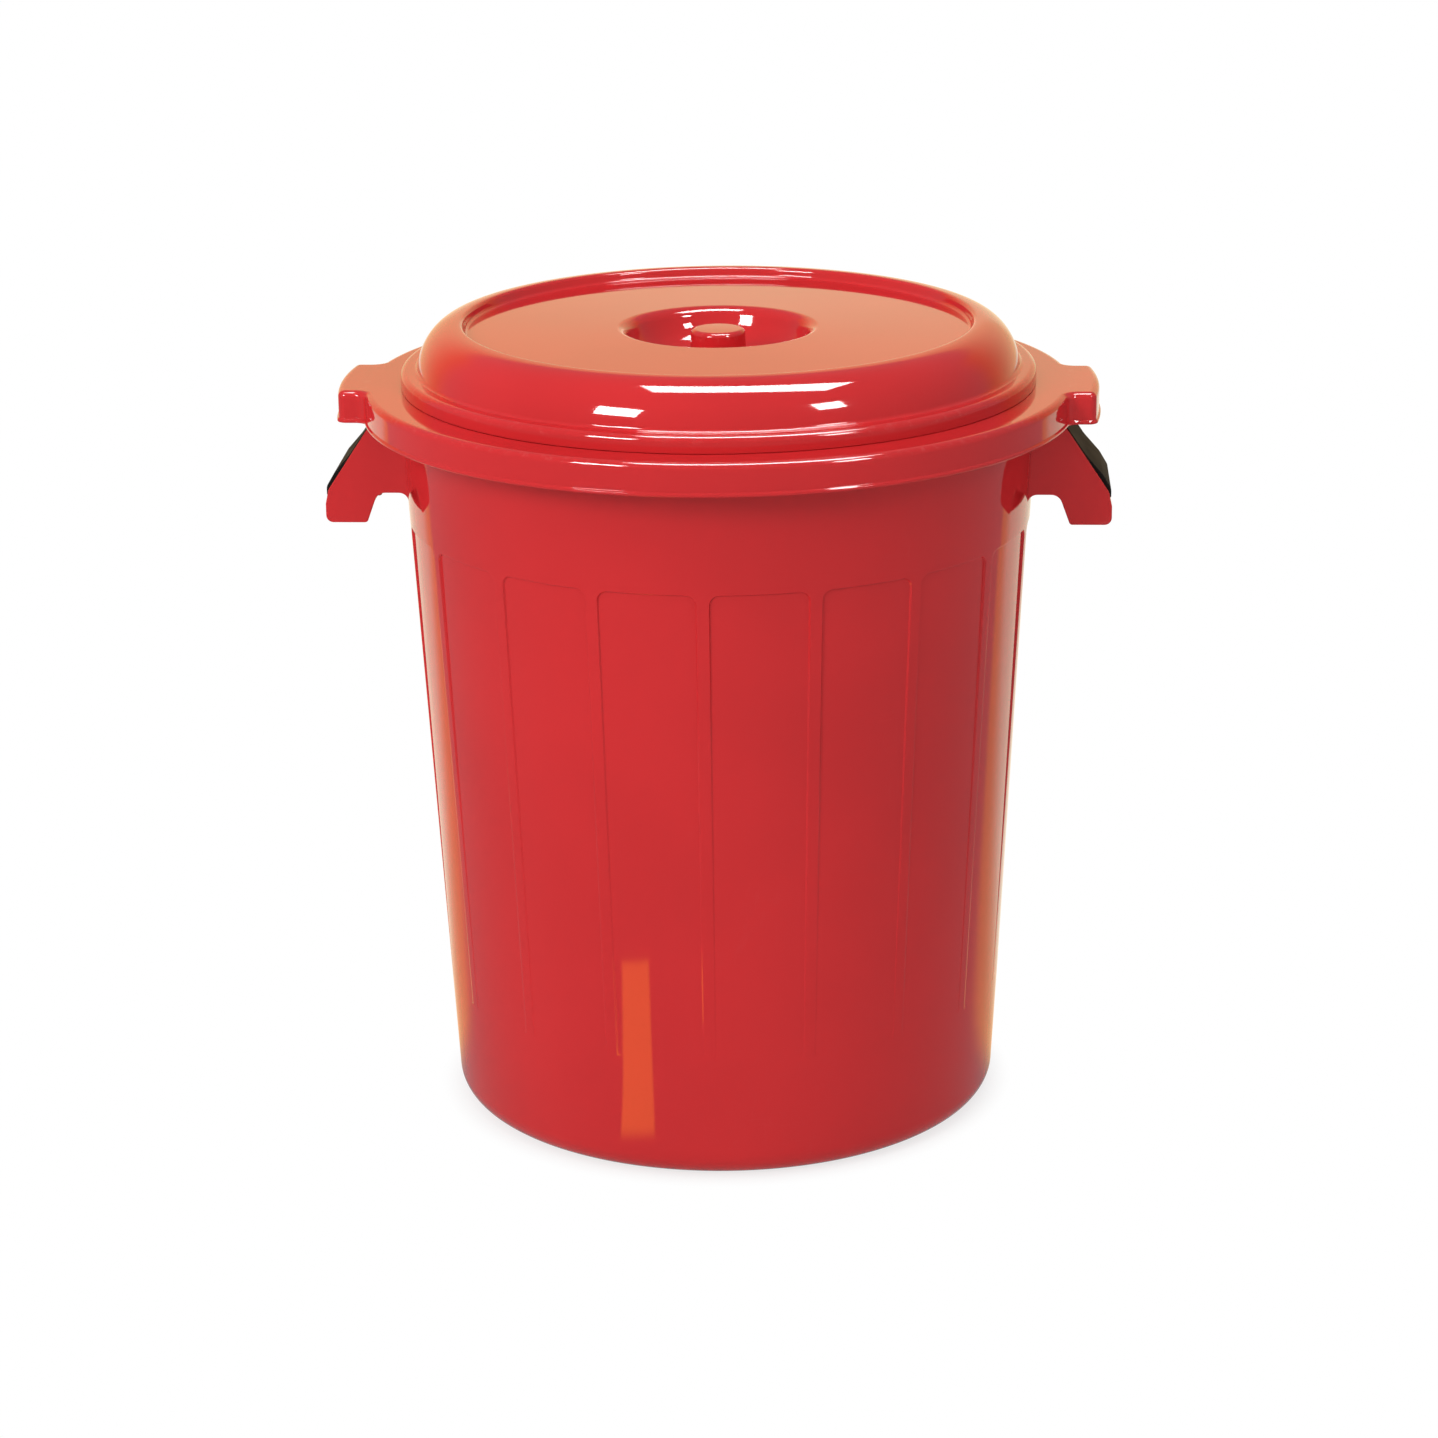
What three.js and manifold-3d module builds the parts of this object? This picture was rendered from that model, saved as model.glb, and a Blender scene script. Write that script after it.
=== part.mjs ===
// Round moulded waste bin with a lift-off lid, about 50 litres.
// Millimetres, +Z up. The origin is the centre of the foot on the floor, and +X points to the right handle.
// The bin comes apart into four mouldings: the tub, the lid, and a black grip snapped into each handle.

import * as THREE from 'three';
import { mergeVertices } from 'three/addons/utils/BufferGeometryUtils.js';
import Module from 'manifold-3d';

const wasm = await Module();
wasm.setup();

// ---------------------------------------------------------------- driving dimensions

// Tub wall and foot
const RIM_TOP = 470; // floor to the flat top of the rim
const WALL_RADIUS_TOP = 200; // outer wall radius at the lower edge of the rim skirt
const WALL_RADIUS_FOOT = 175.2; // outer wall radius where the foot rounding starts
const FOOT_ROUNDING = 16; // rounding between wall and foot
const WALL_TOP = 3.2; // wall thickness at the rim
const WALL_FOOT = 2.6; // wall thickness at the foot
const FOOT_RING_WIDTH = 9; // flat ring the tub stands on
const BASE_LIFT = 6; // height of the base panel above the floor
const BASE_LEAD = 3; // slope run between the foot ring and the raised base panel
const BASE_THICKNESS = 3; // base panel thickness

// Rim
const RIM_WIDTH = 22; // outer wall to the outside of the rim skirt
const RIM_HEIGHT = 19.9; // top of the rim to the lower edge of its skirt
const RIM_SHEET = 3; // thickness of the flat rim
const SKIRT_SHEET = 2.6; // thickness of the down-turned skirt
const RIM_ROUNDING = 4; // rounding of the rim's upper outer edge
const RIM_BEAD = 1; // how far the bead on the skirt's lower edge stands out
const RIM_BEAD_HEIGHT = 2.6; // height of that bead
const MOUTH_ROUNDING = 1; // rounding of the mouth's inner edge

// Side panels
const PANEL_COUNT = 18;
const PANEL_TOP = 384; // height of the panels' upper edge
const PANEL_FADE = 80; // height where the recess has run out into the wall
const PANEL_DEPTH = 1.4; // depth of the recess at its upper edge
const LAND_ANGLE = 2; // degrees of full-radius land between two panels
const PANEL_CORNER = 7; // rounding of the panels' upper corners

// Handle tabs on the rim
const TAB_DEPTH = 16.5; // outside of the rim skirt to a tab's outer face
const TAB_HALF_WIDTH = 40;
const TAB_ROOT_FILLET = 8; // fillet between the rim and a tab's side
const TAB_CORNER = 5; // rounding of a tab's outer corners in plan

// Ears under the tabs
const EAR_HALF_SPAN = 35; // centre plane to the outer face of an ear plate
const EAR_SHEET = 3; // thickness of the ear plates and of the web between them
const EAR_DEPTH = 24.5; // outside of the rim skirt to the ear's upright outer face
const EAR_SLOPE_SET = 7; // outside of the rim skirt in to the slope's upper end, at the skirt's lower edge
const EAR_SHOULDER_DROP = 44.6; // skirt's lower edge down to the slope's lower end
const EAR_SHOULDER_SET = 2; // how far the slope's lower end lies inside the upright face
const EAR_DROP = 65.6; // skirt's lower edge down to the ear's lowest edge
const LEG_WIDTH = 26; // width of the ear's hanging leg at its lowest edge
const LEG_RAKE = 7; // how far the leg's inner edge leans in up to the notch
const NOTCH_DROP = 46.4; // skirt's lower edge down to the notch's top edge
const EAR_CORNER = 4.5; // rounding of the ear's corners
const NOTCH_CORNER = 7; // rounding of the notch's outer corner
const NOTCH_ROOT_FILLET = 6; // fillet between the notch and the tub wall
const RAIL_WIDTH = 2.5; // rails inside the ear plates that back the grip

// Black grips
const GRIP_SHEET = 4.5; // thickness of the grip
const GRIP_PROUD = 0.2; // how far the grip stands out of the ear plates' slope
const GRIP_NOSE_SET = 0.5; // ear's upright outer face in to the grip's nose
const GRIP_NOSE_ROUNDING = 4; // rounding between the slope and the grip's nose
const GRIP_TUCK = 9; // length of grip hidden behind the rim skirt
const GRIP_HOOK = 6; // length of the hook that drops behind the ear's upright web
const FIT_GAP = 0.35; // clearance round a grip

// Lid
const LID_COVER = 1.2; // how far the lid's lip reaches past the mouth
const LID_SHEET = 2.4; // thickness of the lid
const LIP_HEIGHT = 10.5; // height of the lip above the rim
const LIP_ROUNDING = 4; // rounding of the lip's upper edge
const SHELF_WIDTH = 9.9; // lip's outside to the raised ring
const FLANK_WIDTH = 26.2; // raised ring's outside to its crest
const CREST_WIDTH = 7.8; // crest to the sunken disc's edge
const RING_RISE = 33.4; // half height of the ellipse that the ring's flank follows
const CREST_HEIGHT = 38.6; // top of the rim to the ring's crest
const FOLD_FILLET = 2.6; // fillet between the lip's shelf and the ring
const DISC_DROP = 7.2; // crest down to the disc's edge
const DISC_CROWN = 1.8; // how far the disc rises towards the dish
const CREST_ROUNDING = 5; // rounding between the crest and the ring's inner flank
const DISC_FILLET = 3; // fillet between the disc and the ring's inner flank
const DISH_RADIUS = 58.5; // radius of the dish's steep wall at its top
const DISH_EDGE_ROUNDING = 10.5; // rounding between the disc and the dish
const DISH_DEPTH = 24; // disc down to the dish's floor
const DISH_FLOOR_RADIUS = 51; // radius of the dish's wall at its floor
const DISH_FILLET = 12; // fillet between the dish's wall and floor
const KNOB_RADIUS = 16.8; // radius of the knob's top before rounding
const KNOB_BASE_RADIUS = 18.4; // radius of the knob at the dish's floor
const KNOB_DROP = 1.4; // disc down to the knob's top
const KNOB_ROUNDING = 3.2; // rounding of the knob's upper edge
const KNOB_FILLET = 5; // fillet between the knob and the dish's floor
const SPIGOT_GAP = 2.2; // clearance between the lid's spigot and the tub's mouth
const SPIGOT_SHEET = 2.2; // thickness of the spigot
const SPIGOT_DROP = 9; // how far the spigot reaches into the mouth
const LID_GAP = 0.35; // clearance under the lid's lip

// Mesh steps
const ROUND_STEPS = 72; // facets round the tub and round the lid
const CHORD_ERROR = 0.25; // how far a rounding's facets may stray from its true arc
const HIDDEN_CHORD_ERROR = 0.5; // the same on the lid's underside
const BEVEL_STEPS = 3; // facets across the tabs' rounded upper edge
const FLANK_STEPS = 6; // facets along the ring's flank
const OVERLAP = 0.6; // how far joined pieces run into each other
const CLEAR = 20; // how far cutters run past what they cut

// ---------------------------------------------------------------- derived sizes

const SKIRT_FOOT = RIM_TOP - RIM_HEIGHT;
const TAPER = (WALL_RADIUS_TOP - WALL_RADIUS_FOOT) / (SKIRT_FOOT - FOOT_ROUNDING);
const wallRadius = (z) => WALL_RADIUS_FOOT + TAPER * (z - FOOT_ROUNDING);
const MOUTH_RADIUS = wallRadius(RIM_TOP) - WALL_TOP;
const RIM_RADIUS = WALL_RADIUS_TOP + RIM_WIDTH;
const TAB_REACH = RIM_RADIUS + TAB_DEPTH;
const TAB_ROOT = RIM_RADIUS - 3 * RIM_ROUNDING; // radius where a tab starts inside the rim
const EAR_REACH = RIM_RADIUS + EAR_DEPTH;
const EAR_SLOPE_START = RIM_RADIUS - EAR_SLOPE_SET;
const LID_RADIUS = MOUTH_RADIUS + LID_COVER;
const RING_RADIUS = LID_RADIUS - SHELF_WIDTH;
const CREST_RADIUS = RING_RADIUS - FLANK_WIDTH;
const DISC_RADIUS = CREST_RADIUS - CREST_WIDTH;

// ---------------------------------------------------------------- helpers

// Outline through corners [x, y, rounding]; a rounding above zero becomes a true arc.
function roundedOutline(corners, closed = true) {
  const outline = new THREE.Shape();
  const count = corners.length;
  corners.forEach(([x, y, rounding = 0], i) => {
    const isEnd = !closed && (i === 0 || i === count - 1);
    const place = (px, py) => (i === 0 ? outline.moveTo(px, py) : outline.lineTo(px, py));
    if (rounding === 0 || isEnd) {
      place(x, y);
      return;
    }
    const corner = new THREE.Vector2(x, y);
    const before = new THREE.Vector2(...corners[(i + count - 1) % count]).sub(corner).normalize();
    const after = new THREE.Vector2(...corners[(i + 1) % count]).sub(corner).normalize();
    const halfTurn = Math.acos(THREE.MathUtils.clamp(before.dot(after), -1, 1)) / 2;
    const setback = rounding / Math.tan(halfTurn);
    const centre = before.clone().add(after).normalize().multiplyScalar(rounding / Math.sin(halfTurn)).add(corner);
    const start = before.multiplyScalar(setback).add(corner);
    const end = after.multiplyScalar(setback).add(corner);
    const clockwise = (start.x - centre.x) * (end.y - centre.y) - (start.y - centre.y) * (end.x - centre.x) < 0;
    place(start.x, start.y);
    outline.absarc(
      centre.x,
      centre.y,
      rounding,
      Math.atan2(start.y - centre.y, start.x - centre.x),
      Math.atan2(end.y - centre.y, end.x - centre.x),
      clockwise,
    );
  });
  return outline;
}

// Facets that keep an arc within the chord error.
function arcSteps(arc, chordError) {
  const turn = (arc.aEndAngle - arc.aStartAngle) * (arc.aClockwise ? -1 : 1);
  const sweep = THREE.MathUtils.euclideanModulo(turn, 2 * Math.PI);
  const step = 2 * Math.acos(1 - chordError / Math.max(arc.xRadius, chordError));
  return Math.max(Math.ceil(sweep / step), 1);
}

// Points along an outline, without the doubles where a line meets an arc.
function outlinePoints(outline, chordError = CHORD_ERROR) {
  const apart = 0.02;
  const points = [];
  outline.curves.forEach((curve) => {
    const steps = curve.isLineCurve ? 1 : arcSteps(curve, chordError);
    curve.getPoints(steps).forEach((point) => {
      const last = points[points.length - 1];
      if (!last || last.distanceTo(point) > apart) points.push(point);
    });
  });
  return points;
}

// The same outline as straight steps, closed without a doubled end.
function polygonOf(outline) {
  const points = outlinePoints(outline);
  if (points[0].distanceTo(points[points.length - 1]) < 0.02) points.pop();
  return new THREE.Shape(points);
}

// Closed solid from a three.js geometry.
function solidOf(geometry) {
  const bare = geometry.index ? geometry.toNonIndexed() : geometry.clone();
  bare.deleteAttribute('normal');
  bare.deleteAttribute('uv');
  const merged = mergeVertices(bare, 1e-4);
  const index = merged.index.array;
  const kept = [];
  for (let i = 0; i < index.length; i += 3) {
    const [a, b, c] = [index[i], index[i + 1], index[i + 2]];
    if (a !== b && b !== c && c !== a) kept.push(a, b, c);
  }
  const mesh = new wasm.Mesh({
    numProp: 3,
    vertProperties: new Float32Array(merged.attributes.position.array),
    triVerts: new Uint32Array(kept),
  });
  return new wasm.Manifold(mesh);
}

// three.js geometry from a solid.
function geometryOf(solid) {
  const mesh = solid.getMesh();
  const geometry = new THREE.BufferGeometry();
  geometry.setAttribute('position', new THREE.BufferAttribute(mesh.vertProperties, 3));
  geometry.setIndex(new THREE.BufferAttribute(mesh.triVerts, 1));
  geometry.computeVertexNormals();
  return geometry;
}

// Revolves points (radius, height) about +Z.
function revolved(points) {
  const geometry = new THREE.LatheGeometry(points, ROUND_STEPS);
  geometry.rotateX(Math.PI / 2);
  return solidOf(geometry);
}

// Extrudes a plan outline (x, y) from one height to another.
function extrudedUp(outline, low, high, bevel = 0) {
  const geometry = new THREE.ExtrudeGeometry(polygonOf(outline), {
    depth: high - low - 2 * bevel,
    bevelEnabled: bevel > 0,
    bevelSize: bevel,
    bevelThickness: bevel,
    bevelOffset: -bevel,
    bevelSegments: BEVEL_STEPS,
  });
  geometry.translate(0, 0, low + bevel);
  return solidOf(geometry);
}

// Extrudes a side outline (x, z) between two Y planes.
function extrudedAcross(outline, from, to) {
  const geometry = new THREE.ExtrudeGeometry(polygonOf(outline), {
    depth: to - from,
    bevelEnabled: false,
  });
  geometry.rotateX(Math.PI / 2);
  geometry.translate(0, to, 0);
  return solidOf(geometry);
}

// The same run of corners, moved inwards through a sheet's thickness, with roundings to match.
function throughSheet(corners, thickness) {
  const point = (i) => new THREE.Vector2(corners[i][0], corners[i][1]);
  const last = corners.length - 1;
  return corners.map(([x, y, rounding = 0], i) => {
    const into = point(Math.max(i, 1)).sub(point(Math.max(i, 1) - 1)).normalize();
    const out = point(Math.min(i, last - 1) + 1).sub(point(Math.min(i, last - 1))).normalize();
    const along = into.clone().add(out).normalize();
    const shift = thickness / along.dot(into);
    const grown = into.cross(out) > 0 ? rounding + thickness : Math.max(rounding - thickness, 0);
    return [x + along.y * shift, y - along.x * shift, rounding === 0 ? 0 : grown];
  });
}

const turnedHalf = (solid) => solid.rotate([0, 0, 180]);

// ---------------------------------------------------------------- tub

// Outside of the tub: foot, tapered wall, flat rim and down-turned skirt with its bead.
function tubOutside() {
  const footRadius = WALL_RADIUS_FOOT - FOOT_ROUNDING;
  const ringInner = footRadius - FOOT_RING_WIDTH;
  const sheetUnderside = RIM_TOP - RIM_SHEET;
  const skirtInner = RIM_RADIUS - SKIRT_SHEET;
  const outline = roundedOutline(
    [
      [0, BASE_LIFT],
      [ringInner - BASE_LEAD, BASE_LIFT, 2],
      [ringInner, 0, 1],
      [footRadius - 1, 0],
    ],
    false,
  );
  outline.absarc(footRadius, FOOT_ROUNDING, FOOT_ROUNDING, -Math.PI / 2, -Math.atan(TAPER), false);
  const foot = outlinePoints(outline);
  const rim = outlinePoints(
    roundedOutline(
      [
        [wallRadius(SKIRT_FOOT - CLEAR), SKIRT_FOOT - CLEAR],
        [wallRadius(sheetUnderside), sheetUnderside, 1.5],
        [skirtInner, sheetUnderside, 1.5],
        [skirtInner, SKIRT_FOOT],
        [RIM_RADIUS + RIM_BEAD, SKIRT_FOOT, 0.8],
        [RIM_RADIUS + RIM_BEAD, SKIRT_FOOT + RIM_BEAD_HEIGHT - RIM_BEAD],
        [RIM_RADIUS, SKIRT_FOOT + RIM_BEAD_HEIGHT],
        [RIM_RADIUS, RIM_TOP, RIM_ROUNDING],
        [0, RIM_TOP],
      ],
      false,
    ),
  );
  return revolved([...foot, ...rim]);
}

// Space inside the tub, from the floor panel to above the mouth.
function tubInside() {
  const floor = BASE_LIFT + BASE_THICKNESS;
  const footInner = wallRadius(floor) - WALL_FOOT;
  const outline = roundedOutline(
    [
      [0, floor],
      [footInner, floor, FOOT_ROUNDING - WALL_FOOT],
      [MOUTH_RADIUS, RIM_TOP],
      [MOUTH_RADIUS + 0.01, RIM_TOP + CLEAR],
      [0, RIM_TOP + CLEAR],
    ],
    false,
  );
  return revolved(outlinePoints(outline));
}

// Ring that takes the sharp inner edge off the mouth.
function mouthRounding() {
  const edge = MOUTH_RADIUS + MOUTH_ROUNDING;
  const shape = new THREE.Shape();
  shape.moveTo(MOUTH_RADIUS - OVERLAP, RIM_TOP - MOUTH_ROUNDING);
  shape.lineTo(MOUTH_RADIUS, RIM_TOP - MOUTH_ROUNDING);
  shape.absarc(edge, RIM_TOP - MOUTH_ROUNDING, MOUTH_ROUNDING, Math.PI, Math.PI / 2, true);
  shape.lineTo(edge, RIM_TOP + OVERLAP);
  shape.lineTo(MOUTH_RADIUS - OVERLAP, RIM_TOP + OVERLAP);
  const points = outlinePoints(shape);
  points.push(points[0].clone());
  return revolved(points);
}

// Shallow recesses round the wall, deepest at their upper edge and run out above the foot.
function panelCutters() {
  const farOut = WALL_RADIUS_TOP + CLEAR;
  const floorRadius = (z) => wallRadius(z) - (PANEL_DEPTH * (z - PANEL_FADE)) / (PANEL_TOP - PANEL_FADE);
  const low = PANEL_FADE - CLEAR;
  const band = revolved(
    [
      new THREE.Vector2(floorRadius(low), low),
      new THREE.Vector2(farOut, low),
      new THREE.Vector2(farOut, PANEL_TOP + OVERLAP),
      new THREE.Vector2(floorRadius(PANEL_TOP + OVERLAP), PANEL_TOP + OVERLAP),
      new THREE.Vector2(floorRadius(low), low),
    ],
  );
  const halfAngle = THREE.MathUtils.degToRad((360 / PANEL_COUNT - LAND_ANGLE) / 2);
  const halfWidth = (z) => wallRadius(z) * Math.sin(halfAngle);
  const face = roundedOutline([
    [-halfWidth(low), low],
    [halfWidth(low), low],
    [halfWidth(PANEL_TOP), PANEL_TOP, PANEL_CORNER],
    [-halfWidth(PANEL_TOP), PANEL_TOP, PANEL_CORNER],
  ]);
  const window = extrudedAcross(face, -farOut, -WALL_RADIUS_FOOT / 2);
  const pitch = 360 / PANEL_COUNT;
  const cutters = [];
  for (let i = 0; i < PANEL_COUNT; i += 1) {
    cutters.push(band.intersect(window.rotate([0, 0, (i + 0.5) * pitch])));
  }
  return cutters;
}

// Plan of one handle tab, grown outwards by a margin; its inner side ends at a given radius.
function tabPlan(margin, innerRadius) {
  const halfWidth = TAB_HALF_WIDTH + margin;
  const reach = TAB_REACH + margin;
  const rim = RIM_RADIUS + margin;
  const fillet = TAB_ROOT_FILLET - margin;
  const corner = TAB_CORNER + margin;
  const filletY = halfWidth + fillet;
  const filletX = Math.sqrt((rim + fillet) ** 2 - filletY ** 2);
  const filletAngle = Math.atan2(filletY, filletX);
  const cornerY = halfWidth - corner;
  const cornerX = Math.sqrt((reach - corner) ** 2 - cornerY ** 2);
  const cornerAngle = Math.atan2(cornerY, cornerX);
  const plan = new THREE.Shape();
  plan.moveTo(innerRadius * Math.cos(filletAngle), -innerRadius * Math.sin(filletAngle));
  plan.lineTo(rim * Math.cos(filletAngle), -rim * Math.sin(filletAngle));
  plan.absarc(filletX, -filletY, fillet, Math.PI - filletAngle, Math.PI / 2, true);
  plan.absarc(cornerX, -cornerY, corner, -Math.PI / 2, -cornerAngle, false);
  plan.absarc(0, 0, reach, -cornerAngle, cornerAngle, false);
  plan.absarc(cornerX, cornerY, corner, cornerAngle, Math.PI / 2, false);
  plan.absarc(filletX, filletY, fillet, -Math.PI / 2, filletAngle - Math.PI, true);
  plan.lineTo(innerRadius * Math.cos(filletAngle), innerRadius * Math.sin(filletAngle));
  return plan;
}

// One handle tab: the rim widened outwards, with the same rounded edge, skirt and bead.
function handleTab() {
  const block = extrudedUp(tabPlan(0, TAB_ROOT), SKIRT_FOOT - 2 * RIM_ROUNDING, RIM_TOP, RIM_ROUNDING);
  const below = new THREE.BoxGeometry(2 * CLEAR + TAB_REACH, 4 * TAB_HALF_WIDTH, CLEAR);
  below.translate(TAB_REACH, 0, SKIRT_FOOT - CLEAR / 2);
  const bead = extrudedUp(tabPlan(RIM_BEAD, TAB_ROOT), SKIRT_FOOT, SKIRT_FOOT + RIM_BEAD_HEIGHT - RIM_BEAD / 2);
  return block.subtract(solidOf(below)).add(bead);
}

// Hollow under one handle tab, open downwards and joined to the groove under the rim.
function tabHollow() {
  return extrudedUp(tabPlan(-SKIRT_SHEET, TAB_ROOT - 2), SKIRT_FOOT - CLEAR, RIM_TOP - RIM_SHEET);
}

// The slope's upper and lower ends in the side view.
const slopeStart = new THREE.Vector2(EAR_SLOPE_START, SKIRT_FOOT);
const slopeEnd = new THREE.Vector2(EAR_REACH - EAR_SHOULDER_SET, SKIRT_FOOT - EAR_SHOULDER_DROP);
const slopeAlong = slopeEnd.clone().sub(slopeStart).normalize();
const slopeOut = new THREE.Vector2(-slopeAlong.y, slopeAlong.x);

// Point beside the slope: a run along it from its upper end, and a rise outwards.
function besideSlope(run, rise) {
  return slopeStart.clone().addScaledVector(slopeAlong, run).addScaledVector(slopeOut, rise);
}

// Where the slope, carried on upwards, reaches the underside of the rim.
function slopeAtRim() {
  const rise = RIM_HEIGHT - RIM_SHEET;
  return EAR_SLOPE_START + (rise * slopeAlong.x) / slopeAlong.y;
}

// Side outline of an ear plate, from the wall out to the upright face.
function earPlateOutline() {
  const top = RIM_TOP - RIM_SHEET + OVERLAP;
  const foot = SKIRT_FOOT - EAR_DROP;
  const notch = SKIRT_FOOT - NOTCH_DROP;
  const legInner = EAR_REACH - LEG_WIDTH;
  const wallX = Math.sqrt(wallRadius(notch) ** 2 - EAR_HALF_SPAN ** 2);
  return roundedOutline([
    [wallX - CLEAR, top],
    [slopeAtRim(), top],
    [slopeEnd.x, slopeEnd.y, 2 * EAR_CORNER],
    [EAR_REACH, slopeEnd.y - 2 * EAR_CORNER, EAR_CORNER],
    [EAR_REACH, foot, EAR_CORNER],
    [legInner, foot, EAR_CORNER / 2],
    [legInner - LEG_RAKE, notch, NOTCH_CORNER],
    [wallX, notch, NOTCH_ROOT_FILLET],
    [wallX - TAPER * NOTCH_DROP, foot + EAR_CORNER],
    [wallX - CLEAR, foot + EAR_CORNER],
  ]);
}

// Upright web and foot web that join the two ear plates along the leg.
function earWebOutline() {
  const top = slopeEnd.y - EAR_CORNER;
  const foot = SKIRT_FOOT - EAR_DROP;
  const legInner = EAR_REACH - LEG_WIDTH;
  return roundedOutline([
    [EAR_REACH, top],
    [EAR_REACH, foot, EAR_CORNER],
    [legInner + EAR_CORNER / 2, foot],
    [legInner + EAR_CORNER / 2, foot + EAR_SHEET],
    [EAR_REACH - EAR_SHEET, foot + EAR_SHEET, EAR_CORNER - EAR_SHEET],
    [EAR_REACH - EAR_SHEET, top],
  ]);
}

// Rail on the inner side of an ear plate, just behind the grip.
function railOutline() {
  const length = slopeStart.distanceTo(slopeEnd);
  const behind = GRIP_PROUD - GRIP_SHEET - FIT_GAP;
  const ends = [besideSlope(0, behind), besideSlope(length - 2 * EAR_CORNER, behind)];
  const back = [
    besideSlope(length - 2 * EAR_CORNER, behind - RAIL_WIDTH),
    besideSlope(0, behind - RAIL_WIDTH),
  ];
  return roundedOutline([...ends, ...back].map((point) => [point.x, point.y]));
}

// One ear: two plates, the webs between them and the rails.
function handleEar() {
  const inner = EAR_HALF_SPAN - EAR_SHEET;
  const plates = [-EAR_HALF_SPAN, inner].map((from) =>
    extrudedAcross(earPlateOutline(), from, from + EAR_SHEET),
  );
  const web = extrudedAcross(earWebOutline(), -inner - OVERLAP, inner + OVERLAP);
  const rails = [-inner - OVERLAP, inner - RAIL_WIDTH].map((from) =>
    extrudedAcross(railOutline(), from, from + RAIL_WIDTH + OVERLAP),
  );
  return wasm.Manifold.union([...plates, web, ...rails]);
}

function tub() {
  const tab = handleTab();
  const hollow = tabHollow();
  const ear = handleEar();
  const outside = tubOutside()
    .subtract(wasm.Manifold.union(panelCutters()))
    .add(tab)
    .add(turnedHalf(tab))
    .subtract(hollow)
    .subtract(turnedHalf(hollow));
  return outside.add(ear).add(turnedHalf(ear)).subtract(tubInside()).subtract(mouthRounding());
}

// ---------------------------------------------------------------- lid

// Upper side of the lid from its axis out to the foot of its lip, as corners with roundings.
function lidCorners() {
  const crest = RIM_TOP + CREST_HEIGHT;
  const discEdge = crest - DISC_DROP;
  const discInner = discEdge + DISC_CROWN;
  const dishFloor = discInner - DISH_DEPTH;
  const shelf = RIM_TOP + LIP_HEIGHT;
  const ringCentre = crest - RING_RISE;
  const reach = RING_RADIUS - CREST_RADIUS;
  const shelfAngle = Math.asin((shelf - ringCentre) / RING_RISE);
  const quarter = Math.PI / 2;
  const flank = new THREE.EllipseCurve(CREST_RADIUS, ringCentre, reach, RING_RISE, quarter, shelfAngle, true);
  const flankPoints = flank.getPoints(FLANK_STEPS).map((point) => [point.x, point.y, 0]);
  flankPoints[FLANK_STEPS][2] = FOLD_FILLET;
  return [
    [0, discInner - KNOB_DROP],
    [KNOB_RADIUS, discInner - KNOB_DROP, KNOB_ROUNDING],
    [KNOB_BASE_RADIUS, dishFloor, KNOB_FILLET],
    [DISH_FLOOR_RADIUS, dishFloor, DISH_FILLET],
    [DISH_RADIUS, discInner, DISH_EDGE_ROUNDING],
    [DISC_RADIUS, discEdge, DISC_FILLET],
    [DISC_RADIUS + 2, crest, CREST_ROUNDING],
    ...flankPoints,
    [LID_RADIUS, shelf, LIP_ROUNDING],
    [LID_RADIUS, RIM_TOP + LID_GAP],
  ];
}

function lid() {
  const corners = lidCorners();
  const above = outlinePoints(roundedOutline(corners, false));
  const below = outlinePoints(roundedOutline(throughSheet(corners, LID_SHEET), false), HIDDEN_CHORD_ERROR);
  const shell = revolved([...below, ...above.reverse()]);
  const spigotOuter = MOUTH_RADIUS - SPIGOT_GAP;
  const spigotInner = spigotOuter - SPIGOT_SHEET;
  const foot = RIM_TOP - SPIGOT_DROP;
  const head = RIM_TOP + LIP_HEIGHT - LID_SHEET + OVERLAP;
  const spigot = [
    [spigotInner, foot],
    [spigotInner + SPIGOT_SHEET / 2, foot],
    [spigotOuter, foot + SPIGOT_SHEET],
    [spigotOuter, head],
    [spigotInner, head],
    [spigotInner, foot],
  ].map(([x, y]) => new THREE.Vector2(x, y));
  return shell.add(revolved(spigot));
}

// ---------------------------------------------------------------- grips

// Side outline of a grip: a plate along the slope that turns upright at its nose, with a hook at its foot.
function gripOutline() {
  const length = slopeStart.distanceTo(slopeEnd);
  const webFace = EAR_REACH - EAR_SHEET - FIT_GAP;
  const seat = slopeEnd.y - EAR_CORNER + FIT_GAP;
  const back = GRIP_PROUD - GRIP_SHEET;
  const nose = EAR_REACH - GRIP_NOSE_SET;
  const head = besideSlope(-GRIP_TUCK, GRIP_PROUD);
  const headBack = besideSlope(-GRIP_TUCK, back);
  const noseHeight = head.y + ((nose - head.x) * slopeAlong.y) / slopeAlong.x;
  const hook = webFace - EAR_SHEET / 2;
  return roundedOutline([
    [head.x, head.y],
    [nose, noseHeight, GRIP_NOSE_ROUNDING],
    [nose, seat],
    [webFace, seat],
    [webFace, seat - GRIP_HOOK],
    [hook, seat - GRIP_HOOK],
    [hook - 1, besideSlope(length - EAR_CORNER, back).y],
    [headBack.x, headBack.y],
  ]);
}

function grip() {
  const half = EAR_HALF_SPAN - EAR_SHEET - FIT_GAP;
  return extrudedAcross(gripOutline(), -half, half);
}

// ---------------------------------------------------------------- assembly

const redPlastic = { color: 0xc8282c, roughness: 0.22, metalness: 0 };
const blackPlastic = { color: 0x1c1a1a, roughness: 0.45, metalness: 0 };

function named(name, solid, finish) {
  const mesh = new THREE.Mesh(geometryOf(solid), new THREE.MeshStandardMaterial(finish));
  mesh.name = name;
  return mesh;
}

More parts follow.
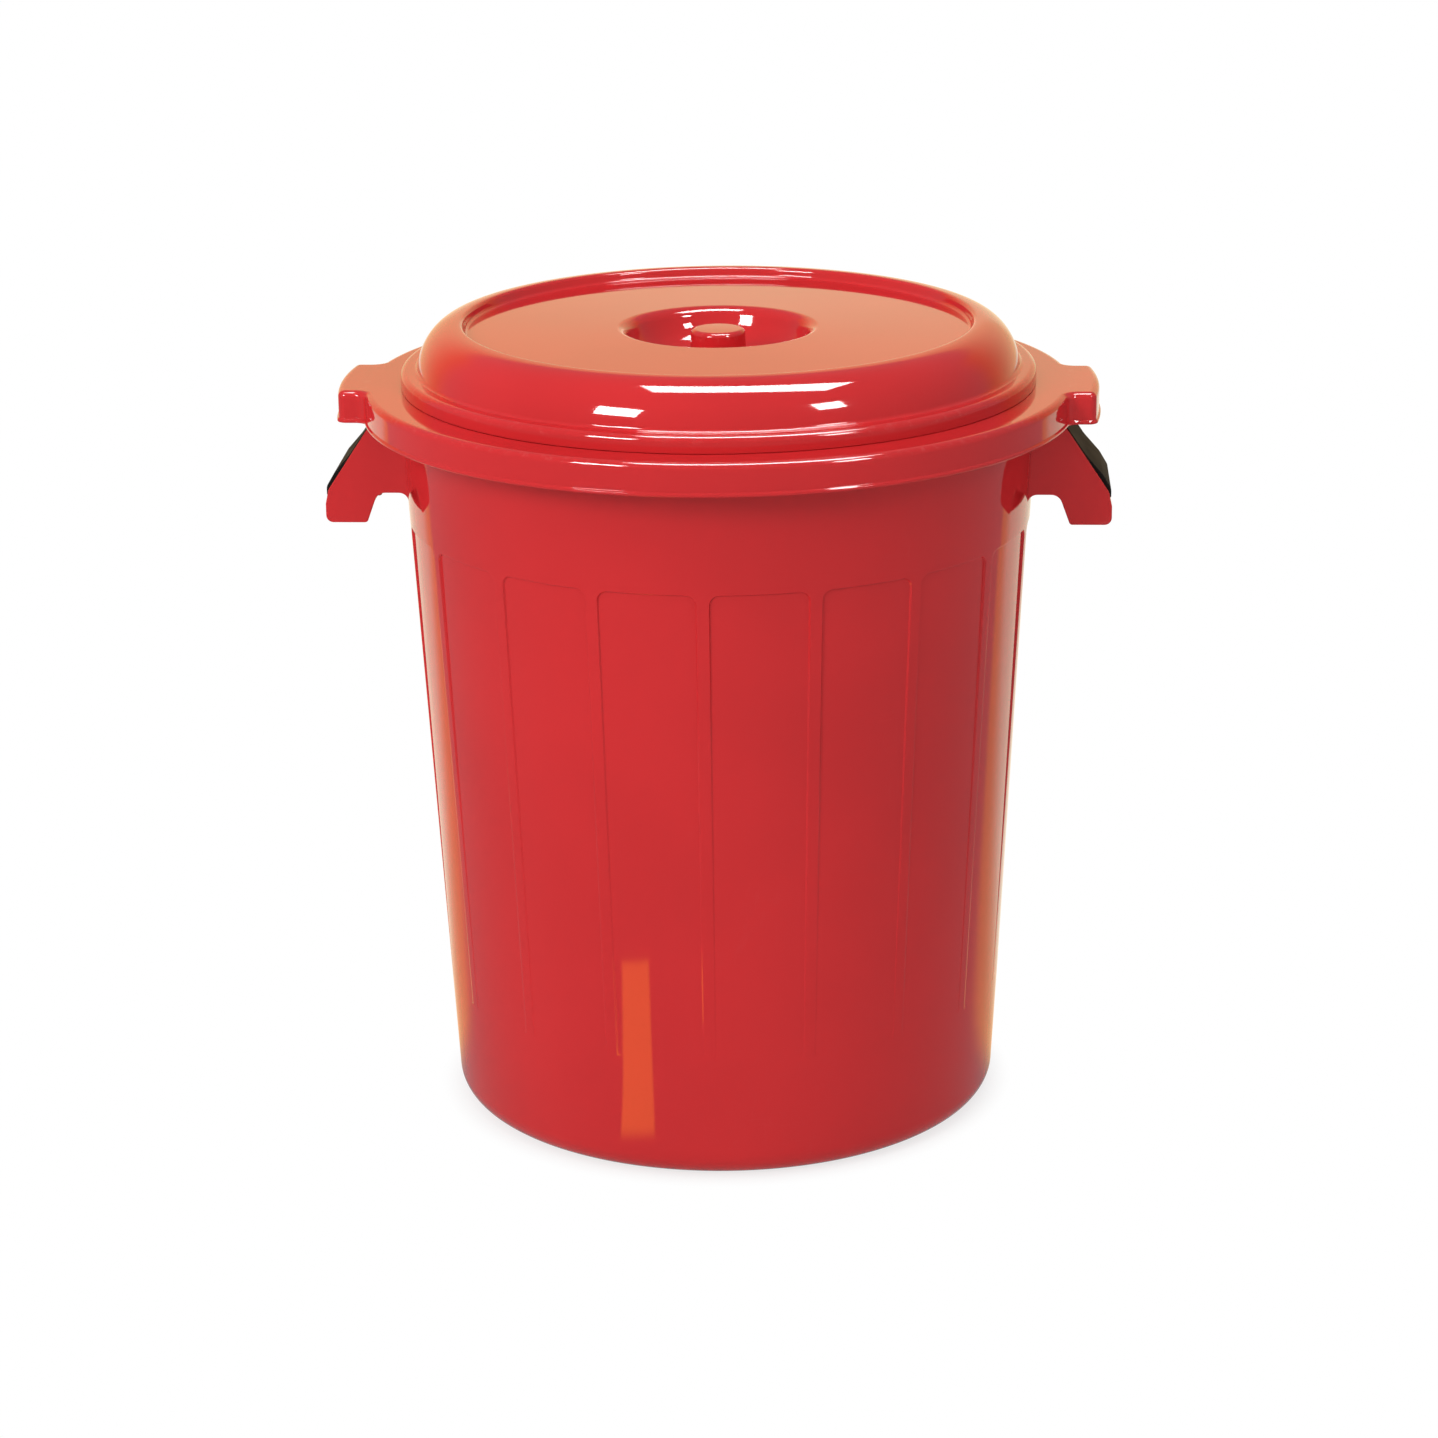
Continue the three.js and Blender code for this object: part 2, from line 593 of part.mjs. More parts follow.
const bin = new THREE.Group();
bin.add(named('tub', tub(), redPlastic));
bin.add(named('lid', lid(), redPlastic));
bin.add(named('right_grip', grip(), blackPlastic));
bin.add(named('left_grip', turnedHalf(grip()), blackPlastic));

export default bin;
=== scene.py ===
"""Looks of a round red plastic bin with a lift-off lid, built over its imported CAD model."""

import math

import bmesh
import bpy
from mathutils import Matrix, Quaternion, Vector


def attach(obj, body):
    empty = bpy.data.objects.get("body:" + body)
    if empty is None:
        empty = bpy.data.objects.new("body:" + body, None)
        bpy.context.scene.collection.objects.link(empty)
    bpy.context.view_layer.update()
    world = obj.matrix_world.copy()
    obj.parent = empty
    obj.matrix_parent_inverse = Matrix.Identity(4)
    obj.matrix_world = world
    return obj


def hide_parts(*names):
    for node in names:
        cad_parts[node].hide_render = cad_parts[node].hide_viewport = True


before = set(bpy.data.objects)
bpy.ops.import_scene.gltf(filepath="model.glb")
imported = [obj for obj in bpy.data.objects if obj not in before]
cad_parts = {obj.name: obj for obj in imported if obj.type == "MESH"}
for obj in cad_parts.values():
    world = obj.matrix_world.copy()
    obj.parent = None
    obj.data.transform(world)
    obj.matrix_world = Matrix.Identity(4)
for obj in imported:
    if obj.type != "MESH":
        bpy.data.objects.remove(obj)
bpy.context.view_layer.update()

# ---------------------------------------------------------------- sizes, in metres

MM = 0.001
ROUND_STEPS = 360
SMOOTH_ANGLE = math.radians(35)

RIM_TOP = 470 * MM
RIM_HEIGHT = 19.9 * MM
RIM_SHEET = 3 * MM
RIM_RADIUS = 222 * MM
SKIRT_SHEET = 2.6 * MM
RIM_ROUNDING = 4 * MM
RIM_FILLET = 1.5 * MM
RIM_BEAD = 1 * MM
RIM_BEAD_HEIGHT = 2.6 * MM
RIM_BEAD_FILLET = 0.5 * MM
RIM_BEAD_ROUNDING = 0.8 * MM
SKIRT_FOOT = RIM_TOP - RIM_HEIGHT

WALL_RADIUS_TOP = 200 * MM
WALL_RADIUS_FOOT = 175.2 * MM
FOOT_ROUNDING = 16 * MM
TAPER = (WALL_RADIUS_TOP - WALL_RADIUS_FOOT) / (SKIRT_FOOT - FOOT_ROUNDING)
WALL_TOP = 3.2 * MM
WALL_FOOT = 2.6 * MM
BASE_LIFT = 6 * MM
BASE_SHEET = 3 * MM
FOOT_RING_WIDTH = 9 * MM
FOOT_STEPS = 16
MOUTH_RADIUS = WALL_RADIUS_FOOT + TAPER * (RIM_TOP - FOOT_ROUNDING) - WALL_TOP
MOUTH_ROUNDING = 1 * MM

PANEL_COUNT = 18
PANEL_TOP = 384 * MM
PANEL_FADE = 80 * MM
PANEL_DEPTH = 1.4 * MM
PANEL_CORNER = 7 * MM
WALL_RINGS = (160 * MM, 260 * MM, 340 * MM)
PANEL_STEP = ((0.35 * MM, 0.12 * MM), (0.6 * MM, PANEL_DEPTH - 0.24 * MM), (0.35 * MM, 0.12 * MM))
LAND_ANGLE = math.radians(2)
STRIP_TOP = PANEL_TOP + 8 * MM
STRIP_FOOT = PANEL_FADE - 5 * MM
RIM_FILL_RADIUS = 205 * MM

TAB_REACH = 238.5 * MM
TAB_HALF_WIDTH = 40 * MM
TAB_ROOT_FILLET = 8 * MM
TAB_CORNER = 5 * MM

EAR_HALF_SPAN = 35 * MM
EAR_SHEET = 3 * MM
EAR_REACH = 246.5 * MM
EAR_FOOT = SKIRT_FOOT - 65.6 * MM
EAR_NOTCH = SKIRT_FOOT - 46.4 * MM
EAR_LEG = EAR_REACH - 26 * MM
EAR_HEAD = RIM_TOP - 1.5 * MM
EAR_CORNER = 4.5 * MM
EAR_SHOULDER_ROUNDING = 9 * MM
EAR_LEG_SHEET = 2.25 * MM
EAR_LEG_ROUNDING = 2.2 * MM
EAR_NOTCH_ROUNDING = 7 * MM
EAR_WALL_FILLET = 6 * MM
EAR_WEB_FILLET = 1.5 * MM
EAR_EDGE_ROUNDING = 0.6 * MM
EAR_WALL_FLARE = 0.9 * MM
EAR_WALL_DROP = 16 * MM
CUT_MARGIN = 20 * MM

FIT_GAP = 0.35 * MM
GRIP_SHEET = 4.5 * MM
GRIP_PROUD = 0.2 * MM
GRIP_TUCK = 9 * MM
GRIP_FLAT_RISE = 0.4 * MM
GRIP_FLAT_END = 26 * MM
GRIP_FLAT_ROUNDING = 30 * MM
GRIP_SWELL = 2.6 * MM
GRIP_SWELL_END = 11 * MM
GRIP_SWELL_ROUNDING = 9 * MM
GRIP_NOSE = EAR_REACH - 0.5 * MM
GRIP_NOSE_STEEPNESS = 1.7
GRIP_NOSE_ROUNDING = 6 * MM
GRIP_HOOK = 6 * MM
GRIP_EDGE_ROUNDING = 0.7 * MM

LID_RADIUS = MOUTH_RADIUS + 1.2 * MM
LID_SHEET = 2.4 * MM
LID_GAP = 0.35 * MM
LIP_TOP = RIM_TOP + 10.5 * MM
LIP_ROUNDING = 4 * MM
RING_TOP = RIM_TOP + 38.6 * MM
RING_REACH = 26.2 * MM
RING_RISE = 33.4 * MM
RING_STEPS = 16
RING_CREST_RADIUS = LID_RADIUS - 9.9 * MM - RING_REACH
RING_FOLD = 2.6 * MM
RING_INNER_ROUNDING = 2.6 * MM
DISC_EDGE = RING_TOP - 6.4 * MM
DISC_INNER = DISC_EDGE + 1 * MM
DISC_RADIUS = RING_CREST_RADIUS - 4.7 * MM
DISC_FILLET = 2.4 * MM
DISH_FLOOR = DISC_INNER - 24 * MM
DISH_FLOOR_RADIUS = 51 * MM
DISH_FILLET = 21 * MM
DISH_RADIUS = 57.8 * MM
DISH_EDGE_ROUNDING = 7.5 * MM
KNOB_TOP = DISC_INNER - 1.4 * MM
KNOB_RADIUS = 16.8 * MM
KNOB_ROUNDING = 3.2 * MM
KNOB_BASE_RADIUS = 18.4 * MM
KNOB_FILLET = 5 * MM
SPIGOT_SHEET = 2.2 * MM
SPIGOT_RADIUS = MOUTH_RADIUS - 2.2 * MM
SPIGOT_FOOT = RIM_TOP - 9 * MM


def wall_radius(z):
    """Outer radius of the tapered wall at a height."""
    return WALL_RADIUS_FOOT + TAPER * (z - FOOT_ROUNDING)


# ---------------------------------------------------------------- modelling helpers


def rounded(corners, steps=6):
    """Points (a, b) through corners (a, b, rounding): each rounding becomes an arc of that radius."""
    points = []
    for i, corner in enumerate(corners):
        at = Vector(corner[:2])
        radius = corner[2] if len(corner) > 2 else 0
        if radius == 0 or i in (0, len(corners) - 1):
            points.append(at)
            continue
        back = (Vector(corners[i - 1][:2]) - at).normalized()
        on = (Vector(corners[i + 1][:2]) - at).normalized()
        half = math.acos(max(-1, min(1, back.dot(on)))) / 2
        centre = at + (back + on).normalized() * radius / math.sin(half)
        start = at + back * radius / math.tan(half) - centre
        end = at + on * radius / math.tan(half) - centre
        turn = start.angle_signed(end)
        for k in range(steps + 1):
            angle = -turn * k / steps
            points.append(centre + Vector((
                start.x * math.cos(angle) - start.y * math.sin(angle),
                start.x * math.sin(angle) + start.y * math.cos(angle),
            )))
    return points


def choose(piece):
    """Makes the piece the only selected one, and the active one."""
    bpy.ops.object.select_all(action="DESELECT")
    piece.select_set(True)
    bpy.context.view_layer.objects.active = piece


def start_mesh(name, point):
    """A new piece that is one vertex, open in edit mode."""
    bpy.ops.object.select_all(action="DESELECT")
    bpy.ops.mesh.primitive_plane_add(size=0.001, location=point)
    piece = bpy.context.active_object
    piece.name = name
    bpy.ops.object.mode_set(mode="EDIT")
    bpy.ops.mesh.select_mode(type="VERT")
    bpy.ops.mesh.select_all(action="SELECT")
    bpy.ops.mesh.merge(type="CENTER")
    return piece


def draw_line(points, closed=False):
    """Extrudes the selected vertex from point to point."""
    for before, after in zip(points, points[1:]):
        bpy.ops.mesh.extrude_region_move(TRANSFORM_OT_translate={"value": Vector(after) - Vector(before)})
    bpy.ops.mesh.select_all(action="SELECT")
    if closed:
        bpy.ops.mesh.remove_doubles(threshold=1e-6)


def select_where(piece, wanted):
    """Selects the vertices of the piece in edit mode whose place is wanted."""
    mesh = bmesh.from_edit_mesh(piece.data)
    for vertex in mesh.verts:
        vertex.select = wanted(vertex.co)
    mesh.select_flush_mode()
    bmesh.update_edit_mesh(piece.data)


def keep_selected_edges(piece, wanted):
    """Drops from the selection every edge with an end whose place isn't wanted."""
    mesh = bmesh.from_edit_mesh(piece.data)
    kept = [edge for edge in mesh.edges if edge.select and all(wanted(v.co) for v in edge.verts)]
    bpy.ops.mesh.select_all(action="DESELECT")
    for edge in kept:
        edge.select_set(True)
    bmesh.update_edit_mesh(piece.data)


def end_edit(piece):
    """Leaves edit mode with the piece's place in its mesh and its faces smooth."""
    bpy.ops.object.mode_set(mode="OBJECT")
    choose(piece)
    bpy.ops.object.transform_apply(location=True, rotation=True, scale=True)
    bpy.ops.object.shade_smooth_by_angle(angle=SMOOTH_ANGLE)


def spin_round():
    """Spins what is open in edit mode once about the bin's axis, and closes its seam and poles."""
    bpy.ops.mesh.select_all(action="SELECT")
    bpy.ops.mesh.spin(steps=ROUND_STEPS, angle=2 * math.pi, center=(0, 0, 0), axis=(0, 0, 1))
    bpy.ops.mesh.select_all(action="SELECT")
    bpy.ops.mesh.remove_doubles(threshold=2e-6)


# ---------------------------------------------------------------- lid


def lid_corners():
    """The lid's upper side from the knob's middle to the lip, as (radius, height, rounding)."""
    ring_centre = RING_TOP - RING_RISE
    fold_angle = math.asin((LIP_TOP - ring_centre) / RING_RISE)
    flank = []
    for i in range(RING_STEPS + 1):
        angle = math.pi / 2 + (fold_angle - math.pi / 2) * i / RING_STEPS
        rounding = RING_FOLD if i == RING_STEPS else 0
        flank.append((RING_CREST_RADIUS + RING_REACH * math.cos(angle),
                      ring_centre + RING_RISE * math.sin(angle), rounding))
    return [
        (0, KNOB_TOP),
        (KNOB_RADIUS, KNOB_TOP, KNOB_ROUNDING),
        (KNOB_BASE_RADIUS, DISH_FLOOR, KNOB_FILLET),
        (DISH_FLOOR_RADIUS, DISH_FLOOR, DISH_FILLET),
        (DISH_RADIUS, DISC_INNER, DISH_EDGE_ROUNDING),
        (DISC_RADIUS, DISC_EDGE, DISC_FILLET),
        (DISC_RADIUS + 1.4 * MM, RING_TOP, RING_INNER_ROUNDING),
        *flank,
        (LID_RADIUS, LIP_TOP, LIP_ROUNDING),
        (LID_RADIUS, RIM_TOP + LID_GAP),
    ]


def through_sheet(corners, thickness):
    """The same corners moved inwards through the sheet."""
    moved = []
    last = len(corners) - 1
    for i, corner in enumerate(corners):
        here = max(i, 1)
        into = (Vector(corners[here][:2]) - Vector(corners[here - 1][:2])).normalized()
        here = min(i, last - 1)
        out = (Vector(corners[here + 1][:2]) - Vector(corners[here][:2])).normalized()
        along = (into + out).normalized()
        shift = thickness / along.dot(into)
        radius = corner[2] if len(corner) > 2 else 0
        if radius:
            radius = radius + thickness if into.cross(out) > 0 else max(radius - thickness, 0)
        moved.append((corner[0] + along.y * shift, corner[1] - along.x * shift, radius))
    return moved


def make_lid():
    """The lid in one sheet, with a spigot under it that sits in the tub's mouth."""
    corners = lid_corners()
    above = rounded(corners)
    below = rounded(through_sheet(corners, LID_SHEET), steps=4)
    inner = SPIGOT_RADIUS - SPIGOT_SHEET
    underside = LIP_TOP - LID_SHEET
    spigot = [(inner, underside), (inner, SPIGOT_FOOT), (inner + SPIGOT_SHEET / 2, SPIGOT_FOOT),
              (SPIGOT_RADIUS, SPIGOT_FOOT + SPIGOT_SHEET), (SPIGOT_RADIUS, underside)]
    under = [p for p in below if p.x < inner] + [Vector(p) for p in spigot]
    under += [p for p in below if p.x > SPIGOT_RADIUS]
    points = [Vector((p.x, 0, p.y)) for p in above + under[::-1]]
    lid = start_mesh("lid_shell", points[0])
    draw_line(points)
    spin_round()
    bpy.ops.mesh.normals_make_consistent(inside=False)
    end_edit(lid)
    return lid


# ---------------------------------------------------------------- tub


def tub_strands():
    """The tub's turned stretches as (radius, height) lines: below the panels, above them, and inside."""
    floor = BASE_LIFT + BASE_SHEET
    foot_radius = WALL_RADIUS_FOOT - FOOT_ROUNDING
    ring_inner = foot_radius - FOOT_RING_WIDTH
    below = rounded([
        (0, BASE_LIFT),
        (ring_inner - 3 * MM, BASE_LIFT, 2 * MM),
        (ring_inner, 0, 1 * MM),
        (foot_radius, 0),
    ], steps=4)
    lean = math.atan(TAPER)
    for i in range(1, FOOT_STEPS + 1):
        angle = -math.pi / 2 + (math.pi / 2 - lean) * i / FOOT_STEPS
        below.append(Vector((foot_radius + FOOT_ROUNDING * math.cos(angle),
                             FOOT_ROUNDING + FOOT_ROUNDING * math.sin(angle))))
    below += [Vector((wall_radius(z), z)) for z in (FOOT_ROUNDING + 2 * MM, STRIP_FOOT)]
    sheet_underside = RIM_TOP - RIM_SHEET
    above = rounded([
        (wall_radius(STRIP_TOP), STRIP_TOP),
        (wall_radius(STRIP_TOP + 2 * MM), STRIP_TOP + 2 * MM),
        (wall_radius(sheet_underside), sheet_underside, RIM_FILLET),
        (RIM_FILL_RADIUS, sheet_underside),
    ], steps=4)
    inside = rounded([
        (RIM_FILL_RADIUS, RIM_TOP),
        (MOUTH_RADIUS + 1.5 * MOUTH_ROUNDING, RIM_TOP),
        (MOUTH_RADIUS, RIM_TOP, MOUTH_ROUNDING),
        (wall_radius(floor) - WALL_FOOT, floor, FOOT_ROUNDING - WALL_FOOT),
        (0, floor),
    ], steps=8)
    return below, above, inside


def make_tub_turned():
    """Every stretch of the tub that is round, spun together about the bin's axis."""
    piece = None
    for strand in tub_strands():
        points = [Vector((r, 0, z)) for r, z in strand]
        if piece is None:
            piece = start_mesh("tub_shell", points[0])
        else:
            bpy.ops.mesh.select_all(action="DESELECT")
            bpy.ops.mesh.primitive_plane_add(size=0.001, location=points[0])
            bpy.ops.mesh.merge(type="CENTER")
        draw_line(points)
    spin_round()
    end_edit(piece)
    return piece


def make_panel_strip():
    """One sector of the wall with its sunken panel, laid out flat and then wrapped onto the wall's cone."""
    half_panel = (math.pi / PANEL_COUNT - LAND_ANGLE / 2) * WALL_RADIUS_TOP
    half_strip = math.pi / PANEL_COUNT * WALL_RADIUS_TOP
    upright = (math.pi / 2, 0, 0)
    bpy.ops.object.select_all(action="DESELECT")
    bpy.ops.mesh.primitive_plane_add(size=1, rotation=upright, location=(0, 0, (PANEL_TOP + PANEL_FADE) / 2))
    strip = bpy.context.active_object
    strip.name = "wall_panel"
    strip.scale = (2 * half_panel, PANEL_TOP - PANEL_FADE, 1)
    bpy.ops.object.transform_apply(location=True, rotation=True, scale=True)
    bpy.ops.object.mode_set(mode="EDIT")
    bpy.ops.mesh.select_mode(type="VERT")
    select_where(strip, lambda co: co.z > PANEL_TOP - MM)
    bpy.ops.mesh.bevel(offset=PANEL_CORNER, segments=8, affect="VERTICES")
    bpy.ops.mesh.select_all(action="SELECT")
    bpy.ops.mesh.select_mode(type="FACE")
    for width, depth in PANEL_STEP:
        bpy.ops.mesh.inset(thickness=width, depth=-depth)
    bpy.ops.mesh.select_all(action="DESELECT")
    bpy.ops.mesh.primitive_plane_add(size=1, rotation=upright, location=(0, 0, (STRIP_TOP + STRIP_FOOT) / 2))
    bpy.ops.transform.resize(value=(2 * half_strip, 1, STRIP_TOP - STRIP_FOOT),
                             center_override=(0, 0, (STRIP_TOP + STRIP_FOOT) / 2))
    bpy.ops.mesh.delete(type="ONLY_FACE")
    bpy.ops.mesh.select_mode(type="EDGE")
    bpy.ops.mesh.select_all(action="DESELECT")
    bpy.ops.mesh.select_non_manifold(use_wire=True, use_boundary=True)
    bpy.ops.mesh.bridge_edge_loops()
    degrees = 180 // PANEL_COUNT
    for k in range(1 - degrees, degrees):
        bpy.ops.mesh.select_all(action="SELECT")
        place = math.radians(k) * WALL_RADIUS_TOP
        bpy.ops.mesh.bisect(plane_co=(place, 0, 0), plane_no=(1, 0, 0), threshold=1e-6)
    for height in WALL_RINGS:
        bpy.ops.mesh.select_all(action="SELECT")
        bpy.ops.mesh.bisect(plane_co=(0, 0, height), plane_no=(0, 0, 1), threshold=1e-6)
    bpy.ops.object.mode_set(mode="OBJECT")
    for vertex in strip.data.vertices:
        along, depth, z = vertex.co
        fade = max(0, min(1, (z - PANEL_FADE) / (PANEL_TOP - PANEL_FADE)))
        radius = wall_radius(z) - depth * fade
        angle = along / WALL_RADIUS_TOP
        vertex.co = (radius * math.cos(angle), radius * math.sin(angle), z)
    return strip


def copy_round(piece, count):
    """Copies of a piece turned about the bin's axis, each with its own mesh."""
    copies = [piece]
    while len(copies) < count:
        choose(copies[-1])
        bpy.ops.object.duplicate(linked=False)
        bpy.ops.transform.rotate(value=2 * math.pi / count, orient_axis="Z", center_override=(0, 0, 0))
        bpy.ops.object.transform_apply(location=True, rotation=True, scale=True)
        copies.append(bpy.context.active_object)
    return copies


def arc(centre, radius, start, end, steps, last=True):
    """Points (x, y) round a centre; the last one may be left to the next stretch."""
    return [(centre[0] + radius * math.cos(start + (end - start) * i / steps),
             centre[1] + radius * math.sin(start + (end - start) * i / steps))
            for i in range(steps + last)]


def rim_outline():
    """Plan of the rim with its two tabs, anticlockwise from the right tab's middle."""
    fillet_y = TAB_HALF_WIDTH + TAB_ROOT_FILLET
    fillet_x = math.sqrt((RIM_RADIUS + TAB_ROOT_FILLET) ** 2 - fillet_y ** 2)
    root = math.atan2(fillet_y, fillet_x)
    corner_y = TAB_HALF_WIDTH - TAB_CORNER
    corner_x = math.sqrt((TAB_REACH - TAB_CORNER) ** 2 - corner_y ** 2)
    corner = math.atan2(corner_y, corner_x)
    quarter = arc((0, 0), TAB_REACH, 0, corner, 12, last=False)
    quarter += arc((corner_x, corner_y), TAB_CORNER, corner, math.pi / 2, 10)
    quarter += arc((fillet_x, fillet_y), TAB_ROOT_FILLET, -math.pi / 2, root - math.pi, 12)
    for degree in range(math.ceil(math.degrees(root) + 0.5), 90):
        angle = math.radians(degree)
        quarter.append((RIM_RADIUS * math.cos(angle), RIM_RADIUS * math.sin(angle)))
    quarter.append((0, RIM_RADIUS))
    half = quarter + [(-x, y) for x, y in reversed(quarter[:-1])]
    return half + [(x, -y) for x, y in reversed(half[1:-1])]


def curve_through(name, points, cyclic):
    """A flat curve of straight stretches through (x, y) points."""
    data = bpy.data.curves.new(name, "CURVE")
    data.dimensions = "2D"
    data.fill_mode = "NONE"
    line = data.splines.new("POLY")
    line.points.add(len(points) - 1)
    for point, (x, y) in zip(line.points, points):
        point.co = (x, y, 0, 1)
    line.use_cyclic_u = cyclic
    curve = bpy.data.objects.new(name, data)
    bpy.context.scene.collection.objects.link(curve)
    return curve


def make_rim():
    """The rim's rounded edge, skirt and bead, swept round its plan."""
    edge = RIM_ROUNDING + 0.25 * MM
    section = rounded([
        (-edge, 0),
        (0, 0, RIM_ROUNDING),
        (0, -5 * MM),
        (0, RIM_BEAD_HEIGHT - RIM_HEIGHT + 0.6 * MM),
        (0, RIM_BEAD_HEIGHT - RIM_HEIGHT, RIM_BEAD_FILLET),
        (RIM_BEAD, RIM_BEAD_HEIGHT - RIM_BEAD - RIM_HEIGHT, RIM_BEAD_FILLET),
        (RIM_BEAD, -RIM_HEIGHT, RIM_BEAD_ROUNDING),
        (-SKIRT_SHEET, -RIM_HEIGHT, RIM_BEAD_FILLET),
        (-SKIRT_SHEET, -RIM_SHEET - RIM_FILLET - 0.3 * MM),
        (-SKIRT_SHEET, -RIM_SHEET, RIM_FILLET),
        (-SKIRT_SHEET - RIM_FILLET, -RIM_SHEET),
    ], steps=6)
    path = curve_through("rim_edge", rim_outline(), True)
    path.location.z = RIM_TOP
    path.data.bevel_mode = "OBJECT"
    path.data.bevel_object = curve_through("rim_section", [(-x, z) for x, z in section], False)
    choose(path)
    bpy.ops.object.convert(target="MESH")
    bpy.data.objects.remove(bpy.data.objects["rim_section"])
    rim = bpy.context.active_object
    bpy.ops.object.transform_apply(location=True, rotation=True, scale=True)
    return rim


def make_tub():
    """The tub's moulding: turned stretches, panelled wall and rim, closed into one shell."""
    turned_part = make_tub_turned()
    panels = copy_round(make_panel_strip(), PANEL_COUNT)
    rim = make_rim()
    bpy.ops.object.select_all(action="DESELECT")
    for piece in (rim, *panels, turned_part):
        piece.select_set(True)
    bpy.context.view_layer.objects.active = turned_part
    bpy.ops.object.join()
    tub = bpy.context.active_object
    bpy.ops.object.mode_set(mode="EDIT")
    bpy.ops.mesh.select_mode(type="VERT")
    bpy.ops.mesh.select_all(action="SELECT")
    bpy.ops.mesh.remove_doubles(threshold=5e-6)
    for height in (RIM_TOP, RIM_TOP - RIM_SHEET):
        bpy.ops.mesh.select_mode(type="EDGE")
        bpy.ops.mesh.select_all(action="DESELECT")
        bpy.ops.mesh.select_non_manifold(use_wire=False, use_boundary=True, use_multi_face=False,
                                         use_non_contiguous=False, use_verts=False)
        keep_selected_edges(tub, lambda co: abs(co.z - height) < 0.01 * MM)
        bpy.ops.mesh.fill(use_beauty=True)
    bpy.ops.mesh.select_all(action="SELECT")
    bpy.ops.mesh.normals_make_consistent(inside=False)
    end_edit(tub)
    return tub


# ---------------------------------------------------------------- ears and grips


def prism(name, outline, half_width):
    """A side outline of (x, z) points, filled and extruded from one Y side to the other."""
    points = [Vector((x, -half_width, z)) for x, z in outline]
    points.append(points[0])
    piece = start_mesh(name, points[0])
    draw_line(points, closed=True)
    bpy.ops.mesh.edge_face_add()
    bpy.ops.mesh.extrude_region_move(TRANSFORM_OT_translate={"value": (0, 2 * half_width, 0)})
    bpy.ops.mesh.select_all(action="SELECT")
    bpy.ops.mesh.normals_make_consistent(inside=False)
    end_edit(piece)
    return piece


def cut_away(piece, cutter):
    """Takes the cutter's volume out of the piece."""
    cut = piece.modifiers.new("cut", "BOOLEAN")
    cut.operation = "DIFFERENCE"
    cut.solver = "EXACT"
    cut.object = cutter
    bpy.context.view_layer.objects.active = piece
    bpy.ops.object.modifier_apply(modifier=cut.name)
    bpy.data.objects.remove(cutter)


def round_edges(piece, width):
    """Rounds every sharp edge, then smooths the faces between them."""
    choose(piece)
    bevel = piece.modifiers.new("edge_rounding", "BEVEL")
    bevel.width = width
    bevel.segments = 3
    bevel.limit_method = "ANGLE"
    bevel.angle_limit = math.radians(38)
    bpy.ops.object.modifier_apply(modifier=bevel.name)
    bpy.ops.object.shade_smooth_by_angle(angle=SMOOTH_ANGLE)


def weigh_normals(piece):
    """Lets large flat or conical faces keep their own shading up to the roundings beside them."""
    choose(piece)
    weigh = piece.modifiers.new("weighted_normals", "WEIGHTED_NORMAL")
    weigh.keep_sharp = True
    bpy.ops.object.modifier_apply(modifier=weigh.name)


SLOPE_START = Vector((RIM_RADIUS - 7 * MM, SKIRT_FOOT))
SLOPE_END = Vector((EAR_REACH - 2 * MM, SKIRT_FOOT - 44.6 * MM))
SLOPE_ALONG = (SLOPE_END - SLOPE_START).normalized()
SLOPE_OUT = Vector((-SLOPE_ALONG.y, SLOPE_ALONG.x))


def beside_slope(run, rise):
    """A point (x, z) at a run down the ear's slope and a rise out of it."""
    return SLOPE_START + SLOPE_ALONG * run + SLOPE_OUT * rise


